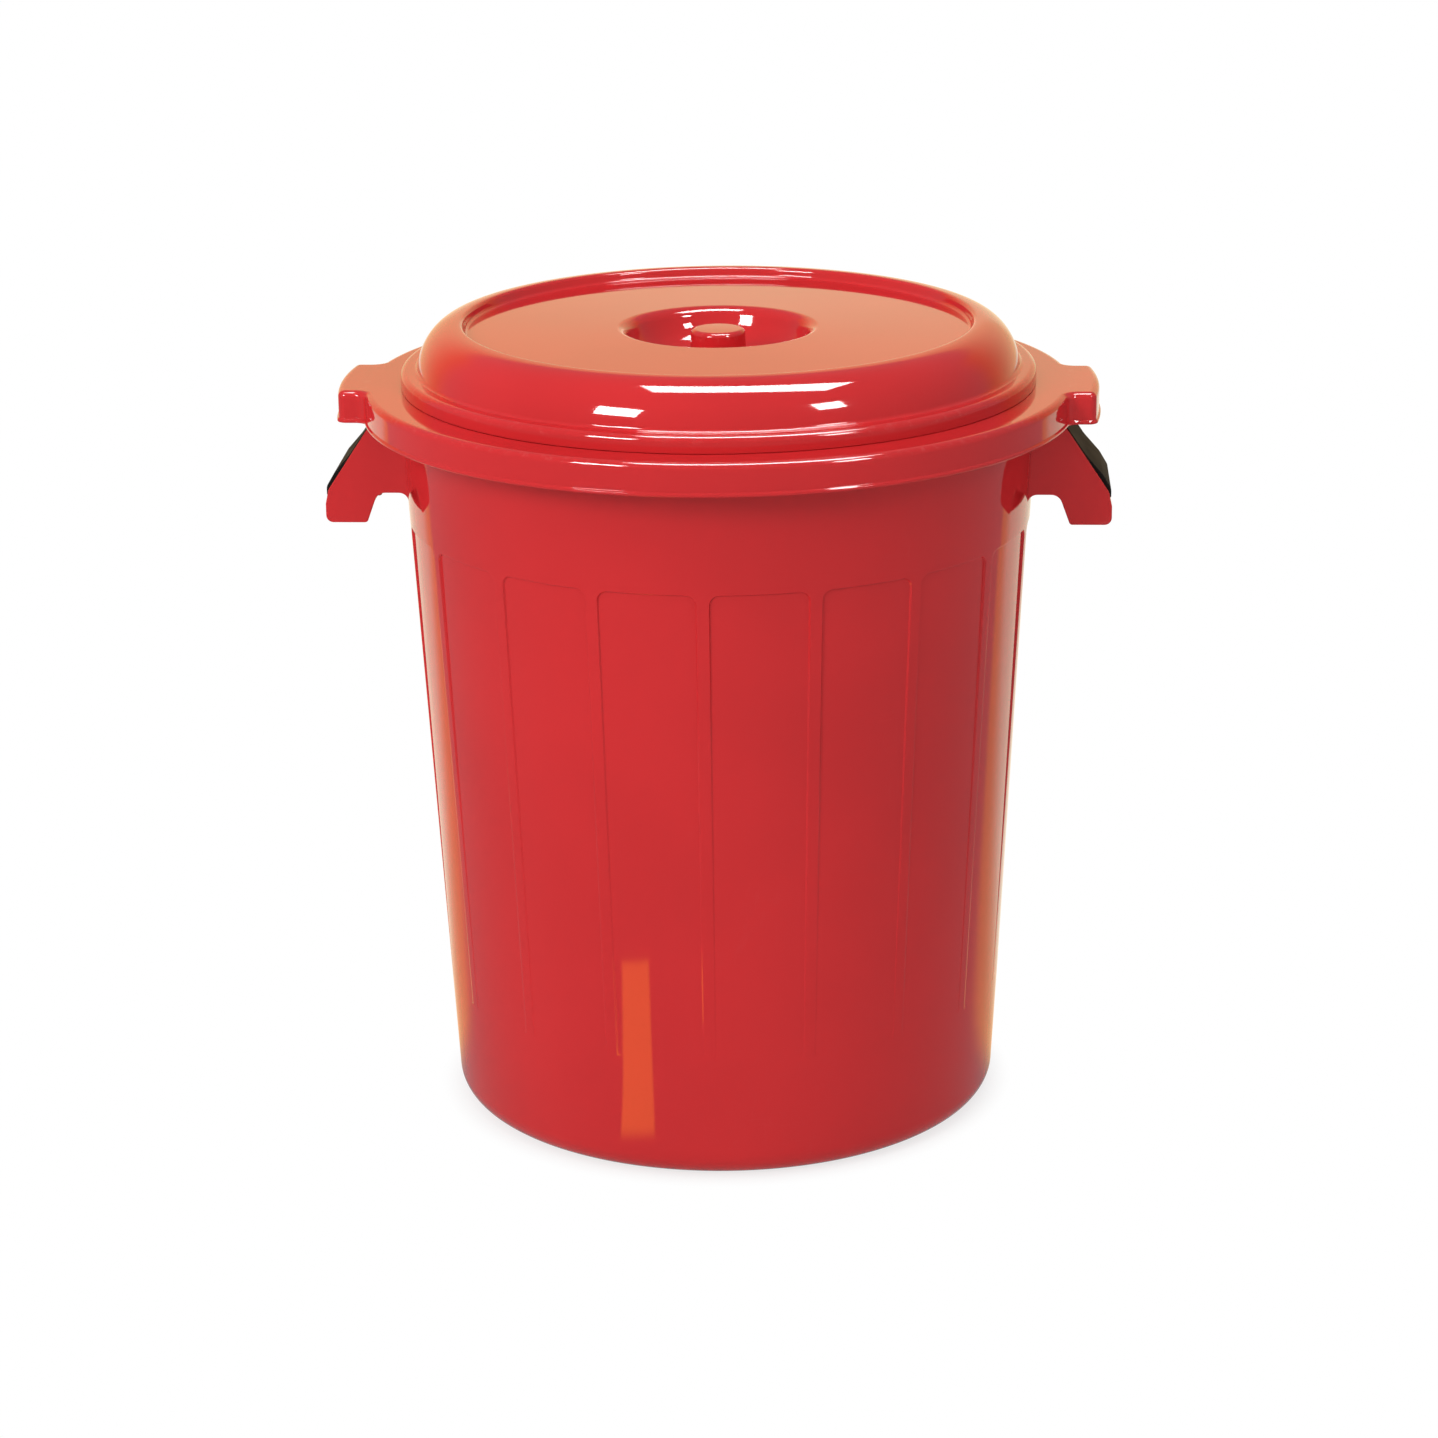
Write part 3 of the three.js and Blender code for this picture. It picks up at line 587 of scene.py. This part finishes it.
def make_ear():
    """The right handle's ear: two plates joined by an upright web and a foot web."""
    head_x = SLOPE_START.x + (EAR_HEAD - SKIRT_FOOT) * SLOPE_ALONG.x / SLOPE_ALONG.y
    wall_head = math.sqrt((wall_radius(EAR_HEAD) - WALL_TOP / 2) ** 2 - EAR_HALF_SPAN ** 2)
    wall_foot = math.sqrt((wall_radius(EAR_NOTCH) - WALL_TOP / 2) ** 2 - EAR_HALF_SPAN ** 2)
    wall_x = math.sqrt(wall_radius(EAR_NOTCH) ** 2 - EAR_HALF_SPAN ** 2)
    outline = rounded([
        (wall_head, EAR_HEAD),
        (head_x, EAR_HEAD),
        (*SLOPE_END, EAR_SHOULDER_ROUNDING),
        (EAR_REACH, SLOPE_END.y - EAR_SHOULDER_ROUNDING, EAR_CORNER),
        (EAR_REACH, EAR_FOOT, EAR_CORNER),
        (EAR_LEG, EAR_FOOT, EAR_LEG_ROUNDING),
        (EAR_LEG - EAR_NOTCH_ROUNDING, EAR_NOTCH, EAR_NOTCH_ROUNDING),
        (wall_x, EAR_NOTCH, EAR_WALL_FILLET),
        (wall_x - EAR_WALL_FLARE, EAR_NOTCH - EAR_WALL_DROP),
        (wall_foot - EAR_WALL_FLARE, EAR_NOTCH - EAR_WALL_DROP),
    ])
    ear = prism("right_ear", outline, EAR_HALF_SPAN)
    web = EAR_REACH - EAR_SHEET
    leg = EAR_LEG + EAR_LEG_SHEET
    hollow = rounded([
        (wall_foot - CUT_MARGIN, EAR_FOOT - CUT_MARGIN),
        (leg, EAR_FOOT - CUT_MARGIN),
        (leg, EAR_FOOT + EAR_SHEET),
        (web, EAR_FOOT + EAR_SHEET, EAR_WEB_FILLET),
        (web, SLOPE_END.y - EAR_CORNER),
        (web + CUT_MARGIN, SLOPE_END.y - EAR_CORNER),
        (web + CUT_MARGIN, EAR_HEAD + CUT_MARGIN),
        (wall_foot - CUT_MARGIN, EAR_HEAD + CUT_MARGIN),
    ])
    cut_away(ear, prism("ear_hollow", hollow, EAR_HALF_SPAN - EAR_SHEET))
    round_edges(ear, EAR_EDGE_ROUNDING)
    return ear


def make_grip():
    """The right handle's black grip: a plate on the slope that swells to its nose, and a hook."""
    length = (SLOPE_END - SLOPE_START).length
    back = GRIP_PROUD - GRIP_SHEET
    web_face = EAR_REACH - EAR_SHEET - FIT_GAP
    hook = web_face - EAR_SHEET / 2
    seat = SLOPE_END.y - EAR_CORNER + FIT_GAP
    swell = beside_slope(length - GRIP_SWELL_END, GRIP_SWELL)
    outline = rounded([
        beside_slope(-GRIP_TUCK, GRIP_PROUD),
        (*beside_slope(length - GRIP_FLAT_END, GRIP_PROUD + GRIP_FLAT_RISE), GRIP_FLAT_ROUNDING),
        (*swell, GRIP_SWELL_ROUNDING),
        (GRIP_NOSE, swell.y - (GRIP_NOSE - swell.x) * GRIP_NOSE_STEEPNESS, GRIP_NOSE_ROUNDING),
        (GRIP_NOSE, seat),
        (web_face, seat),
        (web_face, seat - GRIP_HOOK),
        (hook, seat - GRIP_HOOK),
        (hook - MM, beside_slope(length - EAR_CORNER, back).y),
        beside_slope(-GRIP_TUCK, back),
    ])
    grip = prism("right_grip_insert", outline, EAR_HALF_SPAN - EAR_SHEET - FIT_GAP)
    round_edges(grip, GRIP_EDGE_ROUNDING)
    return grip


def make_left(piece, name):
    """The same piece on the opposite side."""
    copy = copy_round(piece, 2)[1]
    copy.name = name
    return copy


# ---------------------------------------------------------------- shader helpers


def put(tree, kind, **values):
    """A new node with its settings and the values of its unlinked sockets, given by name or number."""
    node = tree.nodes.new("ShaderNode" + kind)
    for key, value in values.pop("settings", {}).items():
        setattr(node, key, value)
    for key, value in values.items():
        socket = node.inputs[int(key[1:])] if key[0] == "_" else node.inputs[key.replace("_", " ")]
        if isinstance(value, bpy.types.NodeSocket):
            tree.links.new(value, socket)
        else:
            socket.default_value = value
    return node


def calculate(tree, operation, *terms):
    """One Math node's result."""
    node = put(tree, "Math", settings={"operation": operation})
    for socket, term in zip(node.inputs, terms):
        if isinstance(term, bpy.types.NodeSocket):
            tree.links.new(term, socket)
        else:
            socket.default_value = term
    return node.outputs["Value"]


def ramp(tree, value, low, high, to_low=0, to_high=1):
    """A smooth step of a value from one level to another."""
    node = put(tree, "MapRange", settings={"interpolation_type": "SMOOTHSTEP"}, Value=value)
    for name, number in (("From Min", low), ("From Max", high), ("To Min", to_low), ("To Max", to_high)):
        node.inputs[name].default_value = number
    return node.outputs["Result"]


def blend(tree, share, first, second):
    """A colour between two colours."""
    node = put(tree, "Mix", settings={"data_type": "RGBA"})
    for socket, term in ((node.inputs[0], share), (node.inputs[6], first), (node.inputs[7], second)):
        if isinstance(term, bpy.types.NodeSocket):
            tree.links.new(term, socket)
        else:
            socket.default_value = term
    return node.outputs[2]


def new_group(name, inputs, outputs):
    """An empty shader node group: inputs are (name, kind, default), outputs are (name, kind)."""
    group = bpy.data.node_groups.new(name, "ShaderNodeTree")
    for label, kind, default in inputs:
        socket = group.interface.new_socket(name=label, in_out="INPUT", socket_type="NodeSocket" + kind)
        if default is not None:
            socket.default_value = default
    for label, kind in outputs:
        group.interface.new_socket(name=label, in_out="OUTPUT", socket_type="NodeSocket" + kind)
    return group, group.nodes.new("NodeGroupInput").outputs, group.nodes.new("NodeGroupOutput").inputs


def place_group(tree, group, **values):
    """The group as one node of a material, with its own values."""
    node = tree.nodes.new("ShaderNodeGroup")
    node.node_tree = group
    for key, value in values.items():
        socket = node.inputs[key.replace("_", " ")]
        if isinstance(value, bpy.types.NodeSocket):
            tree.links.new(value, socket)
        else:
            socket.default_value = value
    return node.outputs


# ---------------------------------------------------------------- materials


def make_moulded_skin():
    """Roughness and height of a moulded skin: slow waves from shrinking, a fine peel, and patchy gloss."""
    group, given, out = new_group(
        "moulded_skin",
        [("Vector", "Vector", None), ("Gloss", "Float", 0.1), ("Gloss Swing", "Float", 0.05),
         ("Wave Height", "Float", 0.0001), ("Peel Height", "Float", 0.000004),
         ("Peel Scale", "Float", 350.0)],
        [("Roughness", "Float"), ("Height", "Float")],
    )
    waves = put(group, "TexNoise", Vector=given["Vector"], Scale=11.0, Detail=1.0, Roughness=0.4)
    peel = put(group, "TexNoise", Vector=given["Vector"], Scale=given["Peel Scale"], Detail=3.0,
               Roughness=0.55)
    patches = put(group, "TexNoise", Vector=given["Vector"], Scale=24.0, Detail=4.0, Roughness=0.6)
    patch_share = ramp(group, patches.outputs["Fac"], 0.38, 0.68)
    swing = calculate(group, "MULTIPLY", patch_share, given["Gloss Swing"])
    group.links.new(calculate(group, "ADD", given["Gloss"], swing), out["Roughness"])
    slow = calculate(group, "MULTIPLY", waves.outputs["Fac"], given["Wave Height"])
    fine = calculate(group, "MULTIPLY", peel.outputs["Fac"], given["Peel Height"])
    group.links.new(calculate(group, "ADD", slow, fine), out["Height"])
    return group


def make_hairlines():
    """Mask of thin scratches that run every way, gathered in patches."""
    group, given, out = new_group(
        "hairlines",
        [("Vector", "Vector", None), ("Scale", "Float", 40.0), ("Share", "Float", 0.5)],
        [("Scratch", "Float")],
    )
    masks = []
    for turn, stretch in ((0.35, (1.0, 1.0, 26.0)), (1.25, (1.0, 22.0, 1.3)), (2.3, (24.0, 1.2, 1.0))):
        turned_round = put(group, "Mapping", Vector=given["Vector"], Rotation=(turn, 0.6 * turn, turn),
                           Scale=stretch)
        streaks = put(group, "TexNoise", Vector=turned_round.outputs["Vector"], Scale=given["Scale"],
                      Detail=1.0)
        masks.append(ramp(group, streaks.outputs["Fac"], 0.66, 0.72))
    every = calculate(group, "MAXIMUM", calculate(group, "MAXIMUM", masks[0], masks[1]), masks[2])
    patches = put(group, "TexNoise", Vector=given["Vector"], Scale=17.0, Detail=2.0)
    level = calculate(group, "SUBTRACT", 1.0, given["Share"])
    patchy = put(group, "MapRange", Value=patches.outputs["Fac"], From_Max=1.0)
    group.links.new(calculate(group, "MULTIPLY", level, 0.8), patchy.inputs["From Min"])
    group.links.new(calculate(group, "MULTIPLY", every, patchy.outputs["Result"]), out["Scratch"])
    return group


def make_touch_wear():
    """Mask of rubbed spots in a band of heights and of distances from the bin's axis."""
    group, given, out = new_group(
        "touch_wear",
        [("Vector", "Vector", None), ("Height", "Float", 0.0), ("Half Height", "Float", 0.01),
         ("Distance", "Float", 0.2), ("Half Distance", "Float", 0.01), ("Grain", "Float", 160.0)],
        [("Wear", "Float")],
    )
    axes = put(group, "SeparateXYZ", Vector=given["Vector"])
    flat = put(group, "CombineXYZ", X=axes.outputs["X"], Y=axes.outputs["Y"])
    distance = put(group, "VectorMath", settings={"operation": "LENGTH"}, _0=flat.outputs["Vector"])
    shares = []
    for value, middle, half in ((axes.outputs["Z"], given["Height"], given["Half Height"]),
                                (distance.outputs["Value"], given["Distance"], given["Half Distance"])):
        off = calculate(group, "ABSOLUTE", calculate(group, "SUBTRACT", value, middle))
        shares.append(ramp(group, calculate(group, "DIVIDE", off, half), 0.35, 1.0, 1.0, 0.0))
    band = calculate(group, "MULTIPLY", shares[0], shares[1])
    grain = put(group, "TexNoise", Vector=given["Vector"], Scale=given["Grain"], Detail=5.0, Roughness=0.7)
    spots = ramp(group, grain.outputs["Fac"], 0.5, 0.72)
    group.links.new(calculate(group, "MULTIPLY", band, spots), out["Wear"])
    return group


skin = make_moulded_skin()
hairlines = make_hairlines()
touch_wear = make_touch_wear()


DEEP_TONE = 0.93
SCRATCH_TINT = 0.1
SCRATCH_DEPTH = 0.0000015
WEAR_TINT = 0.28
WEAR_DEPTH = 0.000003
MARK_ROUGHNESS = 0.4


def plastic(name, colour, rubbed_colour, bands, gloss, gloss_swing, waves, peel, peel_scale,
            scratch_share, sheen):
    """A moulded plastic: skin, hairlines and rubbed bands (height, half height, distance, half distance)."""
    material = bpy.data.materials.new(name)
    material.use_nodes = True
    tree = material.node_tree
    shader = tree.nodes["Principled BSDF"]
    shader.inputs["IOR"].default_value = 1.49
    shader.inputs["Specular IOR Level"].default_value = sheen
    place = put(tree, "TexCoord").outputs["Object"]
    surface = place_group(tree, skin, Vector=place, Gloss=gloss, Gloss_Swing=gloss_swing,
                          Wave_Height=waves, Peel_Height=peel, Peel_Scale=peel_scale)
    scratch = place_group(tree, hairlines, Vector=place, Share=scratch_share)["Scratch"]
    worn = None
    for height, half_height, distance, half_distance in bands:
        band = place_group(tree, touch_wear, Vector=place, Height=height, Half_Height=half_height,
                           Distance=distance, Half_Distance=half_distance)["Wear"]
        worn = band if worn is None else calculate(tree, "MAXIMUM", worn, band)
    tone = put(tree, "TexNoise", Vector=place, Scale=6.0, Detail=2.0)
    deep = tuple(DEEP_TONE * part for part in colour)
    base = blend(tree, ramp(tree, tone.outputs["Fac"], 0.35, 0.65), (*deep, 1), (*colour, 1))
    marks = calculate(tree, "MAXIMUM", calculate(tree, "MULTIPLY", scratch, SCRATCH_TINT),
                      calculate(tree, "MULTIPLY", worn, WEAR_TINT))
    base = blend(tree, marks, base, (*rubbed_colour, 1))
    tree.links.new(base, shader.inputs["Base Color"])
    rough = calculate(tree, "ADD", surface["Roughness"], calculate(tree, "MULTIPLY", marks, MARK_ROUGHNESS))
    tree.links.new(rough, shader.inputs["Roughness"])
    height = calculate(tree, "SUBTRACT", surface["Height"],
                       calculate(tree, "MULTIPLY", scratch, SCRATCH_DEPTH))
    height = calculate(tree, "SUBTRACT", height, calculate(tree, "MULTIPLY", worn, WEAR_DEPTH))
    bump = put(tree, "Bump", Strength=1.0, Distance=1.0, Height=height)
    tree.links.new(bump.outputs["Normal"], shader.inputs["Normal"])
    return material


# the tabs, the rim's edge, the lid's lip, the knob, the ears' feet and the foot ring
RED_WEAR = (
    (RIM_TOP - 1 * MM, 5 * MM, TAB_REACH - 1 * MM, 6 * MM),
    (RIM_TOP, 4 * MM, RIM_RADIUS, 4 * MM),
    (RIM_TOP + 9.5 * MM, 5 * MM, LID_RADIUS, 4 * MM),
    (RIM_TOP + 30 * MM, 5 * MM, 16 * MM, 4 * MM),
    (SKIRT_FOOT - 64 * MM, 6 * MM, EAR_REACH, 8 * MM),
    (2 * MM, 7 * MM, WALL_RADIUS_FOOT - 12 * MM, 14 * MM),
)
# the grips' noses
BLACK_WEAR = ((SLOPE_END.y, 8 * MM, EAR_REACH - 2 * MM, 6 * MM),)

red = plastic(
    "red_gloss_plastic", (0.63, 0.021, 0.024), (0.66, 0.1, 0.095), RED_WEAR,
    gloss=0.035, gloss_swing=0.03, waves=0.000014, peel=0.0000012, peel_scale=380.0,
    scratch_share=0.3, sheen=0.5,
)
black = plastic(
    "black_satin_plastic", (0.014, 0.012, 0.011), (0.05, 0.046, 0.044), BLACK_WEAR,
    gloss=0.55, gloss_swing=0.1, waves=0.00003, peel=0.00003, peel_scale=1100.0,
    scratch_share=0.4, sheen=0.03,
)

# ---------------------------------------------------------------- the object

tub = make_tub()
right_ear = make_ear()
weigh_normals(right_ear)
left_ear = make_left(right_ear, "left_ear")
right_grip = make_grip()
weigh_normals(right_grip)
left_grip = make_left(right_grip, "left_grip_insert")
lid = make_lid()
weigh_normals(tub)
weigh_normals(lid)
for piece in (tub, right_ear, left_ear, lid):
    piece.data.materials.append(red)
for piece in (right_grip, left_grip):
    piece.data.materials.append(black)
for piece in (tub, right_ear, left_ear, right_grip, left_grip):
    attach(piece, "tub_body")
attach(lid, "lid_body")
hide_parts("tub")
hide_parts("lid")
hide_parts("right_grip")
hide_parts("left_grip")

# ---------------------------------------------------------------- floor, light and camera

FLOOR_RADIUS = 4
SHADOW_INNER = 0.165
SHADOW_OUTER = 0.19
SHADOW_FLOOR_SHARE = 0.75
BACK_SPREAD = 0.83
FLOOR_NEAR_BACK = (1.05, 0.62, 0.3, 1)
FLOOR_FAR_BACK = (1.1, 1, 0.78, 1)
FRONT_AIR = 0.36
ROOM_LIGHT_LEFT = 0.6
ROOM_LIGHT_RIGHT = 0.36

# a painted reflection of the left window in the table, which the wall mirrors as an upright warm patch
PAINTED_WINDOW_REFLECTION = (4.6, 1.6, 0.4, 1)
PATCH_START = (-0.075, -0.21, 0)
PATCH_ALONG = (-0.54, -0.8417, 0)
PATCH_ACROSS = (0.8417, -0.54, 0)
PATCH_LENGTH = 0.25
PATCH_HALF_WIDTH = 0.018
PATCH_WIDENING = 0.085


def dot(tree, vector, direction):
    """How far a vector reaches in a direction."""
    product = put(tree, "VectorMath", settings={"operation": "DOT_PRODUCT"}, _0=vector, _1=direction)
    return product.outputs["Value"]


def painted_window_reflection_mask(tree, place):
    """Mask of the window's painted reflection on the floor, which widens towards the window."""
    start = put(tree, "VectorMath", settings={"operation": "SUBTRACT"}, _0=place, _1=PATCH_START)
    along = dot(tree, start.outputs["Vector"], PATCH_ALONG)
    across = calculate(tree, "ABSOLUTE", dot(tree, start.outputs["Vector"], PATCH_ACROSS))
    half_width = calculate(tree, "ADD", calculate(tree, "MULTIPLY", along, PATCH_WIDENING), PATCH_HALF_WIDTH)
    sides = ramp(tree, calculate(tree, "DIVIDE", across, half_width), 0.88, 1.06, 1, 0)
    mask = calculate(tree, "MULTIPLY", sides, ramp(tree, along, -0.015, 0.01))
    return calculate(tree, "MULTIPLY", mask, ramp(tree, along, PATCH_LENGTH - 0.015, PATCH_LENGTH, 1, 0))


def make_floor():
    """A white table: plain white to the camera past a soft shadow round the foot, and in
    reflections a painted glow, brighter behind the bin than in front of it."""
    bpy.ops.object.select_all(action="DESELECT")
    bpy.ops.mesh.primitive_circle_add(vertices=96, radius=FLOOR_RADIUS, fill_type="NGON", location=(0, 0, 0))
    floor = bpy.context.active_object
    floor.name = "studio_floor"
    material = bpy.data.materials.new("studio_floor_white")
    material.use_nodes = True
    tree = material.node_tree
    paint = tree.nodes["Principled BSDF"]
    paint.inputs["Base Color"].default_value = (0.82, 0.82, 0.82, 1)
    paint.inputs["Roughness"].default_value = 0.9
    paint.inputs["Specular IOR Level"].default_value = 0
    rays = put(tree, "LightPath")
    place = put(tree, "TexCoord").outputs["Object"]
    axes = put(tree, "SeparateXYZ", Vector=place)
    reach = put(tree, "VectorMath", settings={"operation": "LENGTH"}, _0=place).outputs["Value"]
    outward = calculate(tree, "MULTIPLY", calculate(tree, "ABSOLUTE", axes.outputs["X"]), BACK_SPREAD)
    behind = calculate(tree, "ADD", calculate(tree, "SUBTRACT", axes.outputs["Y"], outward), 0.2)
    past = ramp(tree, axes.outputs["Y"], -0.02, 0.06)
    behind = calculate(tree, "MULTIPLY", ramp(tree, behind, -0.03, 0.05), past)
    far = ramp(tree, calculate(tree, "SUBTRACT", axes.outputs["Y"], outward), -0.15, 0.1)
    lit = blend(tree, far, FLOOR_NEAR_BACK, FLOOR_FAR_BACK)
    seen = blend(tree, behind, (FRONT_AIR, FRONT_AIR, FRONT_AIR, 1), lit)
    # the left window's painted reflection, a warm glow on the table
    seen = blend(tree, painted_window_reflection_mask(tree, place), seen, PAINTED_WINDOW_REFLECTION)
    # only glossy rays see this sheet: a painted glow that stands in for the lit table and backdrop in
    # reflections
    sheet = put(tree, "Emission", Color=seen)
    surface = put(tree, "MixShader", _0=rays.outputs["Is Glossy Ray"], _1=paint.outputs["BSDF"],
                  _2=sheet.outputs["Emission"])
    white = put(tree, "Emission")
    clear = ramp(tree, reach, SHADOW_INNER, SHADOW_OUTER, SHADOW_FLOOR_SHARE, 1)
    shown = calculate(tree, "MULTIPLY", clear, rays.outputs["Is Camera Ray"])
    surface = put(tree, "MixShader", _0=shown, _1=surface.outputs["Shader"], _2=white.outputs["Emission"])
    tree.links.new(surface.outputs["Shader"], tree.nodes["Material Output"].inputs["Surface"])
    floor.data.materials.append(material)


def make_air():
    """White to the camera, a dim room in front and a warm bright backdrop behind in reflections."""
    world = bpy.data.worlds.new("studio_air")
    bpy.context.scene.world = world
    world.use_nodes = True
    tree = world.node_tree
    rays = put(tree, "LightPath")
    axes = put(tree, "SeparateXYZ", Vector=put(tree, "TexCoord").outputs["Generated"])
    low = ramp(tree, axes.outputs["Z"], 0.44, 0.56, 1, 0)
    behind = calculate(tree, "MULTIPLY", ramp(tree, axes.outputs["Y"], 0.46, 0.68), low)
    warm = blend(tree, ramp(tree, axes.outputs["Y"], 0.6, 0.94), (1, 0.4, 0.16, 1), (1.12, 0.8, 0.42, 1))
    warm = blend(tree, ramp(tree, axes.outputs["Y"], 0.965, 0.99), warm, (1.25, 1.05, 0.65, 1))
    mirrored = blend(tree, behind, (FRONT_AIR, FRONT_AIR, FRONT_AIR, 1), warm)
    glossy = calculate(tree, "MAXIMUM", rays.outputs["Is Glossy Ray"], rays.outputs["Is Transmission Ray"])
    room = ramp(tree, axes.outputs["X"], -0.7, 0.7, ROOM_LIGHT_LEFT, ROOM_LIGHT_RIGHT)
    room = put(tree, "CombineXYZ", X=room, Y=room, Z=room).outputs["Vector"]
    colour = blend(tree, glossy, room, mirrored)
    colour = blend(tree, rays.outputs["Is Camera Ray"], colour, (1, 1, 1, 1))
    tree.links.new(colour, tree.nodes["Background"].inputs["Color"])


def softbox(name, place, aim, size, power, mirrored=False):
    """An area lamp that either lights the object or shows in its gloss."""
    bpy.ops.object.light_add(type="AREA", location=place)
    lamp = bpy.context.active_object
    lamp.name = name
    lamp.data.shape = "RECTANGLE"
    lamp.data.size, lamp.data.size_y = size
    lamp.data.energy = power
    lamp.rotation_euler = (Vector(aim) - Vector(place)).to_track_quat("-Z", "Y").to_euler()
    lamp.visible_diffuse = not mirrored
    lamp.visible_glossy = mirrored


make_floor()
make_air()
softbox("overhead_light", (0.2, -0.4, 2.4), (0, 0, 0.4), (1.6, 1), 13)
softbox("left_light", (-1.5, -2.05, 1.7), (0, 0, 0.25), (1, 1), 33)
softbox("right_light", (2.1, -1.9, 2.2), (0, 0, 0.3), (0.8, 1), 8)
softbox("overhead_strip", (0.27, -0.16, 2.4), (0.27, 0, 0.4), (1.6, 0.68), 90, mirrored=True)
softbox("left_window", (-1.29, -1.77, 1.6), (0, 0, 0.3), (0.68, 0.56), 48, mirrored=True)
softbox("right_window", (1.62, -1.48, 1.84), (0, 0, 0.3), (0.46, 0.48), 28, mirrored=True)

CAMERA_DISTANCE = 2.4768
CAMERA_HEIGHT = 1.0358
CAMERA_YAW = math.radians(3.2)
CAMERA_ROLL = math.radians(-0.62)
CAMERA_TARGET = Vector((0, 0, 0.2449))
IMAGE_WIDTH = 1438
IMAGE_SHIFT = -3.27

bpy.ops.object.camera_add()
camera = bpy.context.active_object
camera.name = "photo_camera"
camera_side = CAMERA_DISTANCE * math.sin(CAMERA_YAW)
camera_back = CAMERA_DISTANCE * math.cos(CAMERA_YAW)
camera.location = (camera_side, -camera_back, CAMERA_HEIGHT)
look = (CAMERA_TARGET - camera.location).to_track_quat("-Z", "Y")
camera.rotation_mode = "QUATERNION"
camera.rotation_quaternion = look @ Quaternion((0, 0, 1), CAMERA_ROLL)
camera.data.lens = 100.83
camera.data.sensor_width = 36
camera.data.shift_x = IMAGE_SHIFT / IMAGE_WIDTH
bpy.context.scene.camera = camera
bpy.context.scene.view_settings.view_transform = "Standard"
